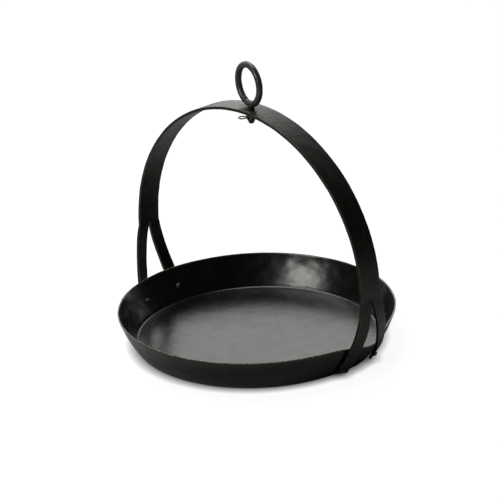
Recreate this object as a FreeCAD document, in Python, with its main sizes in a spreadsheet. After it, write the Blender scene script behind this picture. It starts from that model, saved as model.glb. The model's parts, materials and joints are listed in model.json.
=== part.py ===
import FreeCAD, Part

import math
import os

# A forged hanging pan: a shallow round pan, a flat-bar hoop whose ends are slit into forks
# and riveted to the pan's wall, and a swivel eye in the hoop's crown.
# Millimetres, +Z up. The origin is the centre of the pan's underside, and the hoop stands
# in the XZ plane.

doc = FreeCAD.newDocument("hanging_pan")

RING_POINTS = 120
ROUNDING_STEPS = 3
WALL_STEPS = 6
TINE_STEPS = 12

DIMENSIONS = [
    # pan
    ("rim_radius", 140.0),
    ("wall_flare", 18.0),
    ("pan_height", 35.0),
    ("floor_thickness", 3.0),
    ("wall_foot_thickness", 3.2),
    ("rim_thickness", 1.6),
    ("wall_bow", 1.5),
    ("base_rounding", 2.5),
    ("crease_rise", 2.2),
    ("crease_inset", 2.8),
    # the wall is drawn out a little where the right-hand foot is riveted on
    ("pull_share", 3.216),
    ("pull_spread", 19.55),
    ("pull_fade", 0.4),
    # hoop
    ("bar_width", 25.5),
    ("bar_thickness", 3.0),
    ("hoop_overhang", 16.5),
    ("hoop_centre_height", 86.3),
    ("slit_width", 0.8),
    # places round the rim, as lengths along it
    ("foot_turn", 13.19),
    ("foot_spread", 26.39),
    ("right_foot_lift", 0.3),
    ("left_foot_lift", 8.1),
    ("pad_length", 4.2),
    ("foot_gap", 0.2),
    ("crotch_angle", 20.0),
    ("near_tine_lean", 5.0),
    ("far_tine_lean", 33.0),
    ("upper_reach", 7.3),
    ("lower_reach_share", 0.672),
    # rivets
    ("rivet_diameter", 3.5),
    ("rivet_head_diameter", 6.0),
    ("rivet_head_height", 1.9),
    ("rivet_hole_clearance", 0.05),
    ("tail_gap", 0.25),
    # swivel
    ("rod_diameter", 6.4),
    ("eye_radius", 19.5),
    ("eye_turn_angle", -13.0),
    ("crown_hole_offset", 3.8),
    ("swivel_clearance", 0.1),
    ("eye_lift", 0.45),
    ("eye_side_shift", -2.0),
    ("shank_reach", 13.5),
    ("shank_taper", 1.3),
    ("washer_drop", 0.7),
    ("washer_diameter", 12.0),
    ("washer_thickness", 1.2),
    ("nut_flats", 10.0),
    ("nut_thickness", 7.0),
    ("nut_clearance", 0.02),
    ("nut_nose_diameter", 8.6),
    ("nut_taper_angle", 60.0),
    ("slot_depth", 3.6),
    ("pin_wire", 1.8),
    ("pin_clearance", 0.05),
    ("pin_angle", 45.0),
    ("pin_loop_radius", 1.9),
    ("pin_loop_wire", 1.2),
    ("pin_loop_out", 5.2),
    ("pin_tail_out", 2.5),
]

sheet = doc.addObject("Spreadsheet::Sheet", "Sizes")
for row, (name, value) in enumerate(DIMENSIONS, start=1):
    sheet.set(f"A{row}", name)
    sheet.set(f"B{row}", str(value))
    sheet.setAlias(f"B{row}", name)
doc.recompute()


def size(name):
    """A driving dimension, as the sheet holds it."""
    return float(getattr(sheet, name))


def bind(target, **expressions):
    """Tie properties of an object to the sheet's cells."""
    for prop, expression in expressions.items():
        target.setExpression(prop.replace("__", "."), expression)
    return target


def label(target, name):
    target.Label = name
    return target


# ---------------------------------------------------------------- the pan's wall as a formula

def rim_angle(name):
    """A length along the rim as an angle in degrees."""
    return math.degrees(size(name) / size("rim_radius"))


def pull_out():
    """How far the rim is drawn out, as a share of how much it curves over a foot's spread."""
    return size("pull_share") * size("foot_spread") ** 2 / (2.0 * size("rim_radius"))


def pull_at(angle, height):
    """How far the wall is drawn outwards at an angle in degrees and a height."""
    offset = (angle - rim_angle("foot_turn") + 180.0) % 360.0 - 180.0
    around = math.exp(-0.5 * (offset / rim_angle("pull_spread")) ** 2)
    upwards = max(height, 0.0) / size("pan_height")
    return pull_out() * around * upwards ** size("pull_fade")


def outer_radius(angle, height):
    """Radius of the wall's outer face."""
    share = height / size("pan_height")
    line = size("rim_radius") - size("wall_flare") * (1.0 - share)
    bow = 4.0 * size("wall_bow") * share * (1.0 - share)
    rounding = size("base_rounding")
    low = max(rounding - height, 0.0)
    corner = rounding - math.sqrt(rounding ** 2 - low ** 2)
    return line + bow - corner + pull_at(angle, height)


def inner_radius(angle, height):
    """Radius of the wall's inner face, above the crease where the floor turns up."""
    share = height / size("pan_height")
    foot = size("wall_foot_thickness")
    return outer_radius(angle, height) - foot - (size("rim_thickness") - foot) * share


def ring(radius_at, height, cut_height):
    """A closed smooth ring at one height, of the radius that the formula gives."""
    points = []
    for step in range(RING_POINTS):
        angle = 360.0 * step / RING_POINTS
        radius = radius_at(angle, height)
        turned = math.radians(angle)
        points.append(FreeCAD.Vector(radius * math.cos(turned), radius * math.sin(turned), cut_height))
    curve = Part.BSplineCurve()
    curve.interpolate(Points=points, PeriodicFlag=True)
    return Part.Wire([curve.toShape()])


def make_pan():
    """Dished pan: a tapered, slightly bowed wall round a flat floor, with a crease between."""
    top = size("pan_height")
    rounding = size("base_rounding")
    levels = []
    for step in range(ROUNDING_STEPS):
        levels.append(rounding * (1.0 - math.cos(math.radians(90.0 * step / ROUNDING_STEPS))))
    levels += [rounding + (top - rounding) * step / WALL_STEPS for step in range(WALL_STEPS + 1)]
    outside = Part.makeLoft([ring(outer_radius, level, level) for level in levels], True, True)

    floor = size("floor_thickness")
    crease = floor + size("crease_rise")
    inset = size("crease_inset")

    def floor_edge(angle, height):
        return inner_radius(angle, height) - inset

    levels = [crease + (top - crease) * step / WALL_STEPS for step in range(WALL_STEPS + 1)]
    rings = [ring(floor_edge, crease, floor)]
    rings += [ring(inner_radius, level, level) for level in levels]
    overshoot = 1.0
    rings.append(ring(inner_radius, top, top + overshoot))
    inside = Part.makeLoft(rings, True, True)
    pan = doc.addObject("Part::Feature", "PanBlank")
    pan.Shape = outside.cut(inside)
    return pan


# ---------------------------------------------------------------- where the feet sit

def wall_point(angle, height):
    """A point on the wall's outer face."""
    turned = math.radians(angle)
    radius = outer_radius(angle, height)
    return FreeCAD.Vector(radius * math.cos(turned), radius * math.sin(turned), height)


def wall_frame(angle, height):
    """The wall's outward normal, its upward direction and its sideways direction."""
    step = 0.5
    up = wall_point(angle, height + step).sub(wall_point(angle, height - step)).normalize()
    along = wall_point(angle + step, height).sub(wall_point(angle - step, height)).normalize()
    normal = along.cross(up).normalize()
    return normal, up, normal.cross(up)


FEET = [
    # name, side of the hoop, side of the slit
    ("right_front", 1, -1),
    ("right_rear", 1, 1),
    ("left_front", -1, -1),
    ("left_rear", -1, 1),
]


def foot_angle(side, fork):
    """Where a foot stands around the pan, in degrees."""
    start = 0.0 if side > 0 else 180.0
    return start + rim_angle("foot_turn") + side * fork * rim_angle("foot_spread")


def tine_half_width():
    return (size("bar_width") - size("slit_width")) / 4.0


def rivet_height(side):
    """Height of a side's rivets, which keeps the far tine's lower corner clear of the ground."""
    normal, up, sideways = wall_frame(foot_angle(side, 1), size("pan_height") / 4.0)
    lean = math.radians(size("far_tine_lean"))
    below = size("pad_length") * math.cos(lean) + tine_half_width() * math.sin(lean)
    drop = below * up.z - (size("foot_gap") + size("bar_thickness")) * normal.z
    return size("right_foot_lift" if side > 0 else "left_foot_lift") + drop


# ---------------------------------------------------------------- the hoop

HOOP_RADIUS = "(Sizes.rim_radius + Sizes.hoop_overhang)"


def hoop_radius():
    """Radius of the arch's middle line, which stands clear of the pan's rim."""
    return size("rim_radius") + size("hoop_overhang")


def section(centre, tangent, normal):
    """A rectangle across a tine."""
    across = normal.cross(tangent).normalize()
    outward = tangent.cross(across).normalize()
    half_thickness = size("bar_thickness") / 2.0
    corners = []
    for along, out in ((-1, -1), (1, -1), (1, 1), (-1, 1)):
        edge = centre + across * (along * tine_half_width())
        corners.append(edge + outward * (out * half_thickness))
    return Part.makePolygon(corners + [corners[0]])


def tine_path(side, fork):
    """The tine's centre line as Bezier poles, and its direction and normal on the wall."""
    angle = foot_angle(side, fork)
    height = rivet_height(side)
    normal, up, sideways = wall_frame(angle, height)
    travels_far = side * fork > 0
    lean = math.radians(size("far_tine_lean" if travels_far else "near_tine_lean")) * fork * side
    down = (up * (-math.cos(lean)) + sideways * (-math.sin(lean))).normalize()
    lift = size("foot_gap") + size("bar_thickness") / 2.0
    rivet_place = wall_point(angle, height) + normal * lift
    landing = rivet_place - down * size("pad_length")
    tip = rivet_place + down * size("pad_length")
    quarter = (size("bar_width") + size("slit_width")) / 4.0
    start = FreeCAD.Vector(side * hoop_radius(), fork * quarter, size("hoop_centre_height"))
    splay = math.radians(size("crotch_angle"))
    parting = FreeCAD.Vector(0, fork * math.sin(splay), -math.cos(splay))
    poles = [
        start,
        start + parting * size("upper_reach"),
        landing - down * (size("lower_reach_share") * size("hoop_centre_height")),
        landing,
    ]
    return poles, down, normal, tip


def make_tine(name, side, fork):
    """One half of a slit bar end, drawn out, spread and turned to lie on the wall."""
    poles, down, normal, tip = tine_path(side, fork)
    curve = Part.BezierCurve()
    curve.setPoles(poles)
    outward = FreeCAD.Vector(side, 0, 0)
    sections = [section(poles[0], FreeCAD.Vector(0, 0, -1), outward)]
    for step in range(1, TINE_STEPS + 1):
        share = step / TINE_STEPS
        point = curve.value(share)
        tangent = curve.tangent(share)[0]
        eased = share * share * (3.0 - 2.0 * share)
        facing = (outward * (1.0 - eased) + normal * eased).normalize()
        sections.append(section(point, tangent, facing))
    sections.append(section(tip, down, normal))
    tine = doc.addObject("Part::Feature", "Tine_" + name)
    tine.Shape = Part.makeLoft(sections, True, True)
    return tine


def make_crown():
    """The upper half ring of the hoop, with the hole that the eye turns in."""
    outer = bind(
        doc.addObject("Part::Cylinder", "CrownOuter"),
        Radius=f"{HOOP_RADIUS} + Sizes.bar_thickness / 2",
        Height="Sizes.bar_width",
        Placement__Base__y="Sizes.bar_width / 2",
        Placement__Base__z="Sizes.hoop_centre_height",
    )
    inner = bind(
        doc.addObject("Part::Cylinder", "CrownInner"),
        Radius=f"{HOOP_RADIUS} - Sizes.bar_thickness / 2",
        Height="Sizes.bar_width",
        Placement__Base__y="Sizes.bar_width / 2",
        Placement__Base__z="Sizes.hoop_centre_height",
    )
    lie_down = FreeCAD.Rotation(FreeCAD.Vector(1, 0, 0), 90)
    for cylinder in (outer, inner):
        cylinder.Angle = 180.0
        cylinder.Placement.Rotation = lie_down
    half_ring = doc.addObject("Part::Cut", "CrownRing")
    half_ring.Base = outer
    half_ring.Tool = inner
    hole = bind(
        doc.addObject("Part::Cylinder", "CrownHole"),
        Radius="Sizes.rod_diameter / 2 + Sizes.swivel_clearance",
        Height="4 * Sizes.bar_thickness",
        Placement__Base__x="Sizes.crown_hole_offset",
        Placement__Base__z=f"Sizes.hoop_centre_height + {HOOP_RADIUS} - 2 * Sizes.bar_thickness",
    )
    crown = doc.addObject("Part::Cut", "Crown")
    crown.Base = half_ring
    crown.Tool = hole
    return crown


# ---------------------------------------------------------------- rivets

def wall_grip(angle, height):
    """Thickness of the wall along its normal, from the outer face at a place to the inner face."""
    normal = wall_frame(angle, height)[0]
    start = wall_point(angle, height)
    depth = 0.0
    while depth < 3.0 * size("wall_foot_thickness"):
        point = start - normal * depth
        around = math.degrees(math.atan2(point.y, point.x))
        if math.hypot(point.x, point.y) < inner_radius(around, point.z):
            return depth
        depth += 0.02
    raise ValueError("the wall has no inner face behind a rivet")


def rivet_placement(angle, height):
    """The rivet's own +Z runs outwards through the wall and the tine."""
    normal, up, sideways = wall_frame(angle, height)
    turn = FreeCAD.Rotation(sideways, up, normal, "ZXY")
    return FreeCAD.Placement(wall_point(angle, height), turn)


def make_head(name, seat, upwards):
    """A low dome on its flat seat, as a cap of a sphere."""
    radius = "((Sizes.rivet_head_diameter / 2) ^ 2 + Sizes.rivet_head_height ^ 2)"
    radius += " / (2 * Sizes.rivet_head_height)"
    head = doc.addObject("Part::Sphere", name)
    head.setExpression("Radius", radius)
    head.setExpression("Angle1", f"asin(1 - Sizes.rivet_head_height / ({radius}))")
    sphere_radius = (size("rivet_head_diameter") / 2.0) ** 2 + size("rivet_head_height") ** 2
    sphere_radius /= 2.0 * size("rivet_head_height")
    sunk = sphere_radius - size("rivet_head_height")
    if upwards:
        head.Placement.Base = FreeCAD.Vector(0, 0, seat - sunk)
    else:
        over = FreeCAD.Rotation(FreeCAD.Vector(1, 0, 0), 180)
        head.Placement = FreeCAD.Placement(FreeCAD.Vector(0, 0, seat + sunk), over)
    return head


def make_rivet(name, side, fork):
    """Domed rivet: a head outside the tine, a shank, and a peened tail inside the pan."""
    angle = foot_angle(side, fork)
    height = rivet_height(side)
    head_seat = size("foot_gap") + size("bar_thickness")
    tail_seat = -wall_grip(angle, height) - size("tail_gap")
    shank = bind(doc.addObject("Part::Cylinder", "Shank_" + name), Radius="Sizes.rivet_diameter / 2")
    shank.Height = head_seat - tail_seat
    shank.Placement.Base = FreeCAD.Vector(0, 0, tail_seat)
    rivet = doc.addObject("Part::MultiFuse", "Rivet_" + name)
    rivet.Shapes = [
        shank,
        make_head("Head_" + name, head_seat, True),
        make_head("Tail_" + name, tail_seat, False),
    ]
    rivet.Placement = rivet_placement(angle, height)
    return label(rivet, "rivet_" + name)


def make_rivet_hole(name, side, fork):
    """The hole that a rivet's shank fills, long enough for the tine and the wall."""
    angle = foot_angle(side, fork)
    height = rivet_height(side)
    hole = bind(
        doc.addObject("Part::Cylinder", "RivetHole_" + name),
        Radius="Sizes.rivet_diameter / 2 + Sizes.rivet_hole_clearance",
    )
    reach = 2.0 * size("wall_foot_thickness") + size("bar_thickness")
    hole.Height = 2.0 * reach
    placement = rivet_placement(angle, height)
    inwards = placement.Rotation.multVec(FreeCAD.Vector(0, 0, -reach))
    hole.Placement = FreeCAD.Placement(placement.Base + inwards, placement.Rotation)
    return hole


# ---------------------------------------------------------------- swivel

# Heights along the swivel's axis, from the crown downwards and upwards.
CROWN_MIDDLE = f"(Sizes.hoop_centre_height + {HOOP_RADIUS})"
CROWN_UNDERSIDE = f"({CROWN_MIDDLE} - Sizes.bar_thickness / 2)"
WASHER_TOP = f"({CROWN_UNDERSIDE} - Sizes.washer_drop)"
NUT_TOP = f"({WASHER_TOP} - Sizes.washer_thickness)"
NUT_UNDERSIDE = f"({NUT_TOP} - Sizes.nut_thickness)"
PIN_LEVEL = f"({NUT_UNDERSIDE} + Sizes.slot_depth / 2)"
SHANK_END = f"({CROWN_UNDERSIDE} - Sizes.shank_reach)"
NECK_LEVEL = f"({CROWN_MIDDLE} + Sizes.bar_thickness / 2 + Sizes.eye_lift + Sizes.rod_diameter / 2)"


def place(target, level, along_pin="0"):
    """Put an object on the swivel's axis at a level, or a distance along the split pin from it."""
    return bind(
        target,
        Placement__Base__x=f"Sizes.crown_hole_offset + ({along_pin}) * cos(Sizes.pin_angle)",
        Placement__Base__y=f"({along_pin}) * sin(Sizes.pin_angle)",
        Placement__Base__z=level,
    )


def make_upright(name, radius, low, high):
    """A round rod along the swivel's axis."""
    rod = bind(doc.addObject("Part::Cylinder", name), Radius=radius, Height=f"{high} - {low}")
    return place(rod, low)


def make_level_rod(name, radius, start, end):
    """A round rod along the split pin, between two distances from the swivel's axis."""
    rod = bind(doc.addObject("Part::Cylinder", name), Radius=radius, Height=f"({end}) - ({start})")
    turned = math.radians(size("pin_angle"))
    along = FreeCAD.Vector(math.cos(turned), math.sin(turned), 0)
    rod.Placement.Rotation = FreeCAD.Rotation(FreeCAD.Vector(0, 0, 1), along)
    return place(rod, PIN_LEVEL, start)


def upright_turn(angle):
    """Stands a torus on its edge and turns it about +Z."""
    turn = FreeCAD.Rotation(FreeCAD.Vector(0, 0, 1), angle)
    return turn.multiply(FreeCAD.Rotation(FreeCAD.Vector(1, 0, 0), 90))


def make_swivel_eye():
    """Ring and shank bent from one round rod, with a cross hole for the split pin.

    The ring stands a little to one side of the shank, as it was bent by eye.
    """
    eye_ring = bind(
        doc.addObject("Part::Torus", "EyeRing"),
        Radius1="Sizes.eye_radius",
        Radius2="Sizes.rod_diameter / 2",
    )
    eye_ring.Placement.Rotation = upright_turn(size("eye_turn_angle"))
    bind(
        eye_ring,
        Placement__Base__x="Sizes.crown_hole_offset + Sizes.eye_side_shift * cos(Sizes.eye_turn_angle)",
        Placement__Base__y="Sizes.eye_side_shift * sin(Sizes.eye_turn_angle)",
        Placement__Base__z=f"{NECK_LEVEL} + Sizes.eye_radius",
    )
    shank = make_upright("EyeShank", "Sizes.rod_diameter / 2", SHANK_END, NECK_LEVEL)
    doc.recompute()
    edges = shank.Shape.Edges
    low_edge = min(range(len(edges)), key=lambda index: edges[index].CenterOfMass.z)
    tapered = doc.addObject("Part::Chamfer", "EyeShankTapered")
    tapered.Base = shank
    tapered.Edges = [(low_edge + 1, size("shank_taper"), size("shank_taper"))]
    whole = doc.addObject("Part::Fuse", "EyeWhole")
    whole.Base = eye_ring
    whole.Tool = tapered
    eye = doc.addObject("Part::Cut", "SwivelEye")
    eye.Base = whole
    eye.Tool = make_level_rod(
        "EyePinHole",
        "Sizes.pin_wire / 2 + Sizes.pin_clearance",
        "-Sizes.rod_diameter",
        "Sizes.rod_diameter",
    )
    return label(eye, "swivel_eye")


def make_washer():
    """Plain washer between the nut and the hoop's crown."""
    washer = doc.addObject("Part::Cut", "Washer")
    washer.Base = make_upright("WasherDisc", "Sizes.washer_diameter / 2", NUT_TOP, WASHER_TOP)
    bore = "Sizes.rod_diameter / 2 + Sizes.swivel_clearance"
    washer.Tool = make_upright("WasherBore", bore, NUT_TOP, WASHER_TOP)
    return label(washer, "swivel_washer")


def make_nut():
    """Six-sided slotted nut with a tapered underside, locked to the shank by the split pin."""
    block = bind(
        doc.addObject("Part::Prism", "NutBlock"),
        Polygon="6",
        Circumradius="Sizes.nut_flats / sqrt(3)",
        Height="Sizes.nut_thickness",
    )
    flat_turn = FreeCAD.Vector(0, 0, 1)
    block.Placement.Rotation = FreeCAD.Rotation(flat_turn, size("pin_angle") + 30.0)
    place(block, NUT_UNDERSIDE)
    taper = bind(
        doc.addObject("Part::Cone", "NutTaper"),
        Radius1="Sizes.nut_nose_diameter / 2",
        Radius2="Sizes.nut_nose_diameter / 2 + Sizes.nut_thickness / tan(Sizes.nut_taper_angle)",
        Height="Sizes.nut_thickness",
    )
    place(taper, NUT_UNDERSIDE)
    body = doc.addObject("Part::Common", "NutBody")
    body.Base = block
    body.Tool = taper
    bore = "Sizes.rod_diameter / 2 + Sizes.nut_clearance"
    slots = [make_upright("NutBore", bore, NUT_UNDERSIDE, NUT_TOP)]
    for turn in (0, 60, 120):
        slot = bind(
            doc.addObject("Part::Box", f"NutSlot{turn}"),
            Length="2 * Sizes.nut_flats",
            Width="Sizes.pin_wire + 2 * Sizes.pin_clearance",
            Height="Sizes.slot_depth",
        )
        around = size("pin_angle") + turn
        slot.Placement.Rotation = FreeCAD.Rotation(flat_turn, around)
        half_width = "(Sizes.pin_wire / 2 + Sizes.pin_clearance)"
        facing = f"(Sizes.pin_angle + {turn})"
        bind(
            slot,
            Placement__Base__x=f"Sizes.crown_hole_offset - Sizes.nut_flats * cos({facing})"
                               f" + {half_width} * sin({facing})",
            Placement__Base__y=f"-Sizes.nut_flats * sin({facing}) - {half_width} * cos({facing})",
            Placement__Base__z=NUT_UNDERSIDE,
        )
        slots.append(slot)
    cuts = doc.addObject("Part::MultiFuse", "NutCuts")
    cuts.Shapes = slots
    nut = doc.addObject("Part::Cut", "SlottedNut")
    nut.Base = body
    nut.Tool = cuts
    return label(nut, "slotted_nut")


def make_split_pin():
    """Split pin: two legs drawn as one wire through the nut's slots, with a loop at one end."""
    loop_place = "-(Sizes.nut_flats / 2 + Sizes.pin_loop_out)"
    tail_place = "Sizes.nut_flats / 2 + Sizes.pin_tail_out"
    loop = bind(
        doc.addObject("Part::Torus", "PinLoop"),
        Radius1="Sizes.pin_loop_radius",
        Radius2="Sizes.pin_loop_wire / 2",
    )
    loop.Placement.Rotation = upright_turn(size("pin_angle"))
    place(loop, PIN_LEVEL, loop_place)
    pin = doc.addObject("Part::Fuse", "SplitPin")
    pin.Base = loop
    pin.Tool = make_level_rod(
        "PinLegs", "Sizes.pin_wire / 2", f"{loop_place} + Sizes.pin_loop_radius", tail_place
    )
    return label(pin, "split_pin")


# ---------------------------------------------------------------- assembly

def cut_away(name, base, tools, node):
    """A finished piece: its blank less its holes."""
    holes = doc.addObject("Part::MultiFuse", name + "Holes")
    holes.Shapes = tools
    piece = doc.addObject("Part::Cut", name)
    piece.Base = base
    piece.Tool = holes
    return label(piece, node)


def check(objects, pieces):
    """Stop on any failed object or broken shape."""
    for item in objects:
        if "Invalid" in item.State or "Error" in item.State:
            raise RuntimeError(f"{item.Name} failed: {item.State}")
    for piece in pieces:
        shape = piece.Shape
        if shape.isNull() or not shape.isValid() or shape.Volume <= 0.0:
            raise RuntimeError(f"{piece.Label} has no sound shape")
        if len(shape.Solids) != 1:
            raise RuntimeError(f"{piece.Label} has {len(shape.Solids)} solids")


def main():
    blank = make_pan()
    hoop_blank = doc.addObject("Part::MultiFuse", "HoopBlank")
    hoop_blank.Shapes = [make_crown()] + [make_tine(*foot) for foot in FEET]
    pan_holes = [make_rivet_hole("pan_" + foot[0], *foot[1:]) for foot in FEET]
    hoop_holes = [make_rivet_hole("bar_" + foot[0], *foot[1:]) for foot in FEET]
    pieces = [
        cut_away("Pan", blank, pan_holes, "pan"),
        cut_away("HoopBar", hoop_blank, hoop_holes, "hoop_bar"),
    ]
    pieces += [make_rivet(*foot) for foot in FEET]
    pieces += [make_swivel_eye(), make_washer(), make_nut(), make_split_pin()]
    doc.recompute()
    check(doc.Objects, pieces)
    os.makedirs("parts", exist_ok=True)
    for piece in pieces:
        piece.Shape.exportStep(os.path.join("parts", piece.Label + ".step"))
        box = piece.Shape.BoundBox
        print(f"{piece.Label}: {piece.Shape.Volume:.0f} mm3, x {box.XMin:.1f} to {box.XMax:.1f}, "
              f"y {box.YMin:.1f} to {box.YMax:.1f}, z {box.ZMin:.1f} to {box.ZMax:.1f}")


main()
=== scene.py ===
"""Looks of a hand-forged hanging pan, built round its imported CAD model.

The pan is a shallow round dish. A flat-bar hoop has both ends slit into forks that are riveted
to the dish's wall, and a swivel eye turns in the hoop's crown. All lengths are in metres.
"""

import sys
import json
import logging
import math
from contextlib import contextmanager
from dataclasses import dataclass, field
from enum import Enum
from typing import Callable, Iterator, Sequence

import bmesh
import bpy
import numpy as np
from mathutils import Matrix, Vector, noise


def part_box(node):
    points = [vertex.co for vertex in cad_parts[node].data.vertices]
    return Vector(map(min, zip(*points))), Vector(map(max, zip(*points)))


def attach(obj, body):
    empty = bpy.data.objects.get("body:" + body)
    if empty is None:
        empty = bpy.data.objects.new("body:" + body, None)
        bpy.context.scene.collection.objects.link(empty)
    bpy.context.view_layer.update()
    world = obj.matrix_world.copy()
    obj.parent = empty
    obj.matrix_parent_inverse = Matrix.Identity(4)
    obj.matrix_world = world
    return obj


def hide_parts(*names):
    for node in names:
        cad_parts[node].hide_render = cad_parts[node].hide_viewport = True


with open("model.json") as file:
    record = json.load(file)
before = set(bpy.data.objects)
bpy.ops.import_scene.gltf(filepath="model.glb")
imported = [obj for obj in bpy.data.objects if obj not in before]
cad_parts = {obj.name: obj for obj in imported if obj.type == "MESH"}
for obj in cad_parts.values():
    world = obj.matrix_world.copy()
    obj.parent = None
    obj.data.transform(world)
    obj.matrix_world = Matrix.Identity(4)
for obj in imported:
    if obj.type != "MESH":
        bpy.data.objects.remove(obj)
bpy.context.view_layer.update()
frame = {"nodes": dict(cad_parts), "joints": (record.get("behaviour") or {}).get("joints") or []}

logging.basicConfig(level=logging.INFO, format="%(message)s", stream=sys.stdout)
log = logging.getLogger("hanging_pan")

MM = 0.001
UP = Vector((0.0, 0.0, 1.0))
WHITE = (1.0, 1.0, 1.0, 1.0)
Colour = tuple[float, float, float]
Socket = bpy.types.NodeSocket
Piece = bpy.types.Object


class Body(Enum):
    """The CAD bodies that pieces ride on."""

    ROOT = "root"
    SWIVEL = "swivel"


class Side(Enum):
    """The two ends of the hoop, as signs along X."""

    RIGHT = 1
    LEFT = -1


class Fork(Enum):
    """The two tines of a slit end, as signs along Y."""

    FRONT = -1
    REAR = 1


# ---------------- mesh tools


def heading(angle: float, rise: float = 0.0) -> Vector:
    """The unit vector at an angle from +X and a rise above the ground, both in degrees."""
    turned, lifted = math.radians(angle), math.radians(rise)
    level = math.cos(lifted)
    return Vector((math.cos(turned) * level, math.sin(turned) * level, math.sin(lifted)))


def pick(piece: Piece) -> None:
    """Make one object the only selected one, and the active one.

    Args:
        piece: The object to work on.
    """
    if bpy.context.object and bpy.context.object.mode != "OBJECT":
        bpy.ops.object.mode_set(mode="OBJECT")
    bpy.ops.object.select_all(action="DESELECT")
    piece.select_set(True)
    bpy.context.view_layer.objects.active = piece


@contextmanager
def editing(piece: Piece) -> Iterator[None]:
    """Edit mode on one object, with nothing selected at the start.

    Args:
        piece: The mesh object to edit.
    """
    pick(piece)
    bpy.ops.object.mode_set(mode="EDIT")
    bpy.ops.mesh.select_all(action="DESELECT")
    yield
    bpy.ops.object.mode_set(mode="OBJECT")


def choose(piece: Piece, test: Callable[[Vector], bool], kind: str = "FACE") -> None:
    """Select the faces, or the edges, whose middle passes a test.

    Args:
        piece: The object in edit mode.
        test: Takes the middle of a face or an edge.
        kind: FACE or EDGE.
    """
    bpy.ops.mesh.select_mode(type=kind)
    mesh = bmesh.from_edit_mesh(piece.data)
    for part in mesh.faces if kind == "FACE" else mesh.edges:
        middle = sum((vert.co for vert in part.verts), Vector()) / len(part.verts)
        part.select_set(test(middle))
    bmesh.update_edit_mesh(piece.data)


def face_outward() -> None:
    """Turn all faces of the mesh in edit mode outwards."""
    bpy.ops.mesh.select_all(action="SELECT")
    bpy.ops.mesh.normals_make_consistent(inside=False)


def extrude_to(piece: Piece, place: Callable[[Vector], Vector]) -> None:
    """Extrude what is selected once, and put each new vertex where it belongs.

    Args:
        piece: The object in edit mode.
        place: Gives a vertex's new place from its old one.
    """
    bpy.ops.mesh.extrude_region()
    mesh = bmesh.from_edit_mesh(piece.data)
    for vert in mesh.verts:
        if vert.select:
            vert.co = place(vert.co)
    bmesh.update_edit_mesh(piece.data)


@dataclass(frozen=True)
class Station:
    """One cross-section of a drawn-out bar: its middle and its two axes, which carry its scale."""

    place: Vector
    across: Vector
    outward: Vector

    def hold(self, co: Vector) -> tuple[float, float]:
        """A point's coordinates in this section."""
        offset = co - self.place
        wide = offset.dot(self.across) / self.across.length_squared
        thick = offset.dot(self.outward) / self.outward.length_squared
        return wide, thick

    def put(self, wide: float, thick: float) -> Vector:
        """The point with these coordinates in this section."""
        return self.place + self.across * wide + self.outward * thick


def draw_out(piece: Piece, stations: Sequence[Station]) -> None:
    """Extrude the selected end faces through a row of stations.

    Args:
        piece: The object in edit mode, with the faces at the first station selected.
        stations: The sections from the selected one onwards.
    """
    for last, following in zip(stations, stations[1:]):
        extrude_to(piece, lambda co: following.put(*last.hold(co)))


def apply(piece: Piece, kind: str, name: str, **settings: object) -> None:
    """Add one modifier, set it up and apply it.

    Args:
        piece: The object.
        kind: The modifier's type.
        name: Its name.
        settings: Its properties.
    """
    pick(piece)
    modifier = piece.modifiers.new(name, kind)
    for key, value in settings.items():
        setattr(modifier, key, value)
    bpy.ops.object.modifier_apply(modifier=modifier.name)


def soften(piece: Piece, width: float, angle: float) -> None:
    """Round the edges that turn more than an angle.

    Args:
        piece: The object.
        width: How wide the rounding is.
        angle: The angle in degrees.
    """
    apply(piece, "BEVEL", "edges", width=width, segments=2, limit_method="ANGLE",
          angle_limit=math.radians(angle))


def refine(piece: Piece) -> None:
    """Divide each face in four and smooth the surface.

    Args:
        piece: The object.
    """
    apply(piece, "SUBSURF", "smooth", levels=1, render_levels=1)


def dent(piece: Piece, kind: str, grain: float, depth: float, level: float = 0.5,
         group: str = "") -> None:
    """Move a surface in and out along its normals by a procedural pattern.

    Args:
        piece: The object.
        kind: CLOUDS or VORONOI.
        grain: The size of the pattern's marks.
        depth: From the lowest to the highest point.
        level: The share of the pattern that counts as the surface.
        group: A vertex group that says where, or nothing for everywhere.
    """
    pattern = bpy.data.textures.new(f"{piece.name}_{kind.lower()}", kind)
    pattern.noise_scale = grain
    if kind == "CLOUDS":
        pattern.noise_depth = 3
    apply(piece, "DISPLACE", "dents", texture=pattern, texture_coords="LOCAL", strength=depth,
          mid_level=level, vertex_group=group)


def record_wear(piece: Piece, sharpest: float = 1.0 * MM, bluntest: float = 4.0 * MM) -> None:
    """Write how exposed each vertex is to rubbing, from how sharply the surface turns there; on the hoop
    and the rivets the same record also places painted highlights.

    Args:
        piece: The finished object.
        sharpest: Radius of an edge that is worn all over.
        bluntest: Radius of a curve that isn't worn at all.
    """
    mesh = piece.data
    places = np.array([vert.co for vert in mesh.vertices])
    normals = np.array([vert.normal for vert in mesh.vertices])
    first, second = np.array([edge.vertices for edge in mesh.edges]).T
    along = places[second] - places[first]
    tiny = 1e-12
    squared = np.maximum((along ** 2).sum(1), tiny)
    turn = np.zeros(len(places))
    np.maximum.at(turn, first, -2.0 * (along * normals[first]).sum(1) / squared)
    np.maximum.at(turn, second, 2.0 * (along * normals[second]).sum(1) / squared)
    worn = (turn - 1.0 / bluntest) / (1.0 / sharpest - 1.0 / bluntest)
    layer = mesh.attributes.new("wear", "FLOAT", "POINT")
    layer.data.foreach_set("value", np.clip(worn, 0.0, 1.0).astype(np.float32))


# ---------------- finishes


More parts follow.
